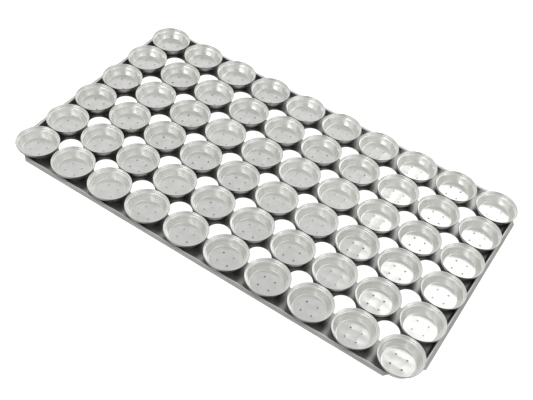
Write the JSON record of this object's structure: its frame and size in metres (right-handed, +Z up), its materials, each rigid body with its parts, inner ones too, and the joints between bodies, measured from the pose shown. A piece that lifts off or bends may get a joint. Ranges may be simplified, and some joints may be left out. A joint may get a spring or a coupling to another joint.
{
  "type": "pie tray",
  "caption": "Flat bakery tray of small round pie tins spot-welded in a grid to a folded sheet with airflow holes between them and a drooping lip round the edge.",
  "frame": {"origin": "centre of the tray, at the level of the flat underside it rests on", "axes": "+X along the tray's length, +Y across it away from row 1, +Z up out of the cups"},
  "size_m": [0.7364, 0.4284, 0.019],
  "materials": {
    "tin_steel": "bright satin tinned steel with faint drawing rings and light wear",
    "sheet_steel": "aluminised steel sheet, satin, with a faint lengthwise rolling grain"
  },
  "bodies": {
    "root": {"carrier_sheet": "sheet_steel", "pie_tin_row1_place01": "tin_steel", "pie_tin_row1_place02": "tin_steel", "pie_tin_row1_place03": "tin_steel", "pie_tin_row1_place04": "tin_steel", "pie_tin_row1_place05": "tin_steel", "pie_tin_row1_place06": "tin_steel", "pie_tin_row1_place07": "tin_steel", "pie_tin_row1_place08": "tin_steel", "pie_tin_row1_place09": "tin_steel", "pie_tin_row1_place10": "tin_steel", "pie_tin_row2_place01": "tin_steel", "pie_tin_row2_place02": "tin_steel", "pie_tin_row2_place03": "tin_steel", "pie_tin_row2_place04": "tin_steel", "pie_tin_row2_place05": "tin_steel", "pie_tin_row2_place06": "tin_steel", "pie_tin_row2_place07": "tin_steel", "pie_tin_row2_place08": "tin_steel", "pie_tin_row2_place09": "tin_steel", "pie_tin_row2_place10": "tin_steel", "pie_tin_row3_place01": "tin_steel", "pie_tin_row3_place02": "tin_steel", "pie_tin_row3_place03": "tin_steel", "pie_tin_row3_place04": "tin_steel", "pie_tin_row3_place05": "tin_steel", "pie_tin_row3_place06": "tin_steel", "pie_tin_row3_place07": "tin_steel", "pie_tin_row3_place08": "tin_steel", "pie_tin_row3_place09": "tin_steel", "pie_tin_row3_place10": "tin_steel", "pie_tin_row4_place01": "tin_steel", "pie_tin_row4_place02": "tin_steel", "pie_tin_row4_place03": "tin_steel", "pie_tin_row4_place04": "tin_steel", "pie_tin_row4_place05": "tin_steel", "pie_tin_row4_place06": "tin_steel", "pie_tin_row4_place07": "tin_steel", "pie_tin_row4_place08": "tin_steel", "pie_tin_row4_place09": "tin_steel", "pie_tin_row4_place10": "tin_steel", "pie_tin_row5_place01": "tin_steel", "pie_tin_row5_place02": "tin_steel", "pie_tin_row5_place03": "tin_steel", "pie_tin_row5_place04": "tin_steel", "pie_tin_row5_place05": "tin_steel", "pie_tin_row5_place06": "tin_steel", "pie_tin_row5_place07": "tin_steel", "pie_tin_row5_place08": "tin_steel", "pie_tin_row5_place09": "tin_steel", "pie_tin_row5_place10": "tin_steel", "pie_tin_row6_place01": "tin_steel", "pie_tin_row6_place02": "tin_steel", "pie_tin_row6_place03": "tin_steel", "pie_tin_row6_place04": "tin_steel", "pie_tin_row6_place05": "tin_steel", "pie_tin_row6_place06": "tin_steel", "pie_tin_row6_place07": "tin_steel", "pie_tin_row6_place08": "tin_steel", "pie_tins_row6_place09_and_10": "tin_steel"}
  },
  "joints": []
}
